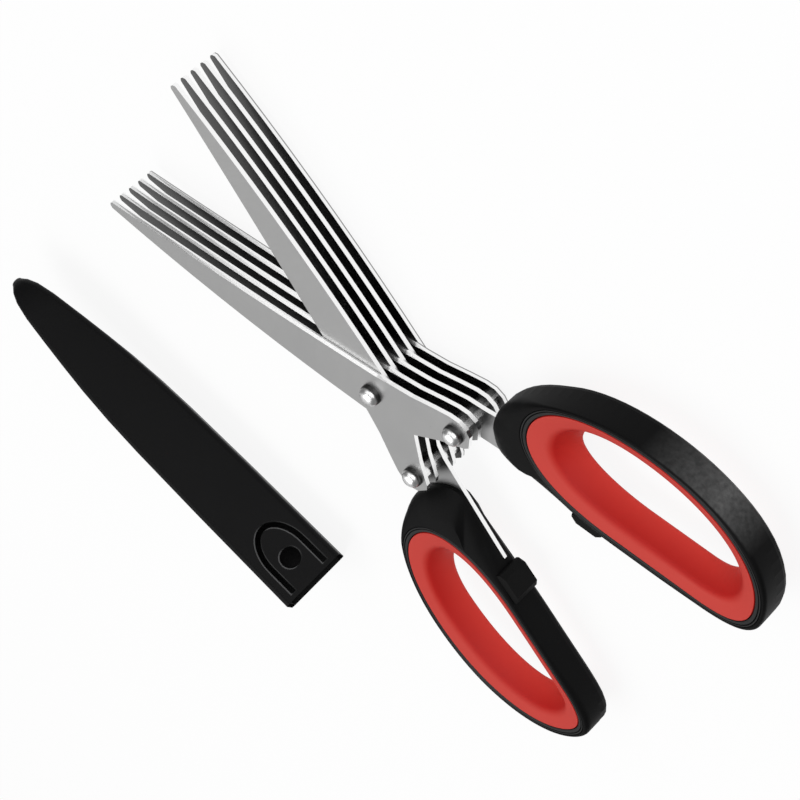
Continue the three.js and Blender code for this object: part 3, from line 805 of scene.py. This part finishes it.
def black_plastic(name, colors, grain, specular, roughness, floor_reflection=None, sheen_turn=None):
    """Moulded plastic: an even fine grain, and slow changes of gloss. What faces the floor may
    have a paler grey, a painted reflection of the floor, and one handle has a painted sheen, a speckled grey
    patch, on its outer wall."""
    material, tree, shader = new_material(name, colors[0], roughness, specular=specular)
    fine = noise(tree, grain, detail=3)
    slow = noise(tree, GLOSS_SCALE)
    color = blend(tree, slow, *colors)
    if floor_reflection is not None:
        # Painted reflection of the floor on what faces down.
        color = blend(tree, shares_of(tree, facing_up(tree), *RIM_FACING), color, floor_reflection)
    if sheen_turn is not None:
        # Painted sheen on the handle's outer wall.
        color = painted_sheen(tree, color, sheen_turn)
    tree.links.new(color, shader.inputs["Base Color"])
    gloss = between(tree, slow, *(roughness + spread for spread in GLOSS_SPREAD))
    tree.links.new(gloss, shader.inputs["Roughness"])
    bump(tree, shader, fine, GRAIN_DEPTH, strength=0.5)
    return material


def red_rubber(name, foot, top):
    """Soft red rubber: painted light makes its upward band paler, and painted bounce light from the floor
    makes the foot of its wall paler.
    """
    material, tree, shader = new_material(name, WALL_RED[1], RUBBER[0], specular=0.24)
    slow = noise(tree, RED_SCALE, detail=3)
    fine = noise(tree, RUBBER_SCALE)
    height = split_axis(tree, own_axes(tree), "Z")
    color = blend(tree, slow, *WALL_RED)
    # Painted bounce light from the floor towards the wall's foot.
    color = blend(tree, shares_of(tree, height, lerp(foot, top, WALL_PAINTED_BOUNCE_SHARE), foot), color, FOOT_RED_PAINTED_BOUNCE)
    # Painted light on the upward band.
    color = blend(tree, shares_of(tree, facing_up(tree), *BAND_FACING), color, BAND_RED_PAINTED_LIGHT)
    tree.links.new(color, shader.inputs["Base Color"])
    tree.links.new(between(tree, slow, *RUBBER), shader.inputs["Roughness"])
    bump(tree, shader, fine, RUBBER_DEPTH, strength=0.4)
    return material


def dress(piece, *materials):
    """Fills a piece's material slots and keeps which faces take which."""
    slots = piece.data.materials
    while len(slots) < len(materials):
        slots.append(None)
    for i, material in enumerate(materials):
        slots[i] = material


def soften(node, width, segments=2):
    """Rounds the sharp edges of a CAD node without changing its mesh."""
    bevel = nodes[node].modifiers.new("edges", "BEVEL")
    bevel.width = width
    bevel.segments = segments
    bevel.limit_method = "ANGLE"
    bevel.angle_limit = SOFTENED_ANGLE
    bevel.harden_normals = False


# Black plastics: colours, fineness of the grain, specular level and roughness
handle_black = black_plastic("handle_black", HANDLE_BLACK, 2600, 0.06, 0.5)
# Arm A's handle plastic carries a painted sheen on its outer wall.
painted_sheen_black = black_plastic("painted_sheen_black", HANDLE_BLACK, 2600, 0.06, 0.5, sheen_turn=HALF_OPENING)
bumper_black = black_plastic("bumper_black", BUMPER_BLACK, 1800, 0.07, 0.65)
sheath_black = black_plastic("sheath_black", SHEATH_BLACK, 3600, 0.08, 0.42)
rim_black = black_plastic("rim_black", HANDLE_BLACK, 2600, 0.28, 0.38)
# The sheath's bevels carry a painted reflection of the floor.
edge_black = black_plastic("sheath_edge_black", SHEATH_BLACK, 2600, 0.3, 0.38, floor_reflection=RIM_PAINTED_REFLECTION)
mouth_black = black_plastic("mouth_black", MOUTH_BLACK, 2600, 0.0, 0.8)
shiny = polished_steel("polished_steel")
head_steel = polished_steel("rivet_head_steel", is_head=True)


def foot_height(name):
    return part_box(name)[0].z


for letter, (_, turn) in ARMS.items():
    plates = sorted((name for name in nodes if name.startswith(f"blade_{letter}")), key=foot_height)
    lowest, top = plates[0], plates[-1]
    foot = foot_height(lowest)
    # The inner plates carry a painted shade between the plates.
    shaded_inner_steel = satin_steel(f"shaded_inner_blade_steel_{letter}", turn, INNER_STEEL_PAINTED_SHADE, is_inner=True)
    for name in plates:
        dress(nodes[name], shaded_inner_steel)
        soften(name, METAL_SOFTNESS)
    # The lowest plate adds a painted shade along its foot.
    shaded_lowest_steel = satin_steel(f"shaded_lowest_blade_steel_{letter}", turn, INNER_STEEL_PAINTED_SHADE, is_inner=True, foot=foot)
    dress(nodes[lowest], shaded_lowest_steel)
    dress(nodes[top], satin_steel(f"blade_steel_{letter}", turn, OUTER_STEEL))
    # Arm A's shells take the plastic with the painted sheen.
    shell_black = painted_sheen_black if letter == "a" else handle_black
    dress(front_shell(letter), shell_black, rim_black)
    low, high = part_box(f"finger_grip_{letter}")
    dress(grip_ring(letter), red_rubber(f"red_rubber_{letter}", low.z, high.z))
    dress(nodes[f"handle_rear_shell_{letter}"], shell_black)
    dress(nodes[f"stop_bumper_{letter}"], bumper_black)
    soften(f"stop_bumper_{letter}", BUMPER_SOFTNESS, segments=3)
    dress(rivet(f"rear_rivet_{letter}", f"arm_{letter}"), head_steel)
dress(rivet("pivot_rivet", "arm_a"), head_steel)
for name, node in nodes.items():
    if "spacer" in name or "collar" in name or "washer" in name:
        dress(node, shiny)
        soften(name, METAL_SOFTNESS)
dress(sheath_half("sheath_front", 1, "sheath_front_shell"), sheath_black, edge_black, mouth_black)
dress(sheath_half("sheath_rear", -1, "sheath_rear_shell"), sheath_black, edge_black, mouth_black)


# Stage

FLOOR_HALF = 3.0
FLOOR_WHITE = ((0.925, 0.925, 0.925), (0.94, 0.94, 0.94))
FLOOR_SCALE = 40
FLOOR_GLOW = 0.9
ROOM_GREY = 0.15

# Lamps: name, place, aim, width and height in metres, and watts
LAMPS = [
    ("key", (-0.2, -1.1, 0.72), (-0.03, 0, 0), (1.2, 0.8), 7.4),
    ("overhead", (0, 0.2, 1.0), (0, 0.02, 0), (1.0, 1.0), 6.8),
    ("far_card", (0.1, 1.2, 0.75), (0, 0, 0), (2.0, 1.2), 3),
    ("side_card", (0.84, -0.71, 0.93), (0.04, 0, 0), (0.9, 0.9), 3),
]


def seen_directly(tree):
    """1 for camera rays, and for rays that metal and glass send on."""
    path = tree.nodes.new("ShaderNodeLightPath")
    total = path.outputs["Is Camera Ray"]
    for name in ("Is Glossy Ray", "Is Transmission Ray"):
        largest = tree.nodes.new("ShaderNodeMath")
        largest.operation = "MAXIMUM"
        tree.links.new(total, largest.inputs[0])
        tree.links.new(path.outputs[name], largest.inputs[1])
        total = largest.outputs["Value"]
    return total


def floor():
    """A matte white surface with the object's shadow, and a glow of its own where seen directly."""
    corners = [(x * FLOOR_HALF, y * FLOOR_HALF, 0) for x, y in ((-1, -1), (1, -1), (1, 1), (-1, 1))]
    plane = mesh_object("floor", corners, [(0, 1, 2, 3)])
    material, tree, shader = new_material("floor_white", FLOOR_WHITE[0], roughness=0.8, specular=0.2)
    paper = noise(tree, FLOOR_SCALE, detail=3)
    tree.links.new(blend(tree, paper, *FLOOR_WHITE), shader.inputs["Base Color"])
    glow = tree.nodes.new("ShaderNodeEmission")
    mix = tree.nodes.new("ShaderNodeMixShader")
    share = tree.nodes.new("ShaderNodeMath")
    share.operation = "MULTIPLY"
    share.inputs[1].default_value = FLOOR_GLOW
    tree.links.new(seen_directly(tree), share.inputs[0])
    tree.links.new(share.outputs["Value"], mix.inputs["Fac"])
    tree.links.new(shader.outputs["BSDF"], mix.inputs[1])
    tree.links.new(glow.outputs["Emission"], mix.inputs[2])
    tree.links.new(mix.outputs["Shader"], tree.nodes["Material Output"].inputs["Surface"])
    dress(plane, material)


def area_light(name, place, aim, size, power):
    light = bpy.data.lights.new(name, "AREA")
    light.shape = "RECTANGLE"
    light.size, light.size_y = size
    light.energy = power
    lamp = bpy.data.objects.new(name, light)
    lamp.location = place
    lamp.rotation_mode = "QUATERNION"
    lamp.rotation_quaternion = (Vector(aim) - Vector(place)).to_track_quat("-Z", "Y")
    bpy.context.scene.collection.objects.link(lamp)


def world():
    """White to the camera, and a grey room for the light."""
    sky = bpy.data.worlds.new("room")
    bpy.context.scene.world = sky
    sky.use_nodes = True
    tree = sky.node_tree
    background = tree.nodes["Background"]
    background.inputs["Color"].default_value = (ROOM_GREY, ROOM_GREY, ROOM_GREY, 1)
    seen = tree.nodes.new("ShaderNodeBackground")
    seen.inputs["Color"].default_value = (1, 1, 1, 1)
    path = tree.nodes.new("ShaderNodeLightPath")
    mix = tree.nodes.new("ShaderNodeMixShader")
    tree.links.new(path.outputs["Is Camera Ray"], mix.inputs["Fac"])
    tree.links.new(background.outputs["Background"], mix.inputs[1])
    tree.links.new(seen.outputs["Background"], mix.inputs[2])
    tree.links.new(mix.outputs["Shader"], tree.nodes["World Output"].inputs["Surface"])


def camera():
    lens = bpy.data.cameras.new("camera")
    lens.lens = CAMERA_LENS
    lens.sensor_width = SENSOR_WIDTH
    eye = bpy.data.objects.new("camera", lens)
    eye.location = CAMERA_PLACE
    level = (CAMERA_AIM - CAMERA_PLACE).to_track_quat("-Z", "Y").to_matrix()
    eye.rotation_mode = "QUATERNION"
    eye.rotation_quaternion = (level @ Matrix.Rotation(CAMERA_ROLL, 3, "Z")).to_quaternion()
    bpy.context.scene.collection.objects.link(eye)
    bpy.context.scene.camera = eye


floor()
world()
camera()
for lamp in LAMPS:
    area_light(*lamp)
bpy.context.scene.view_settings.view_transform = "Standard"
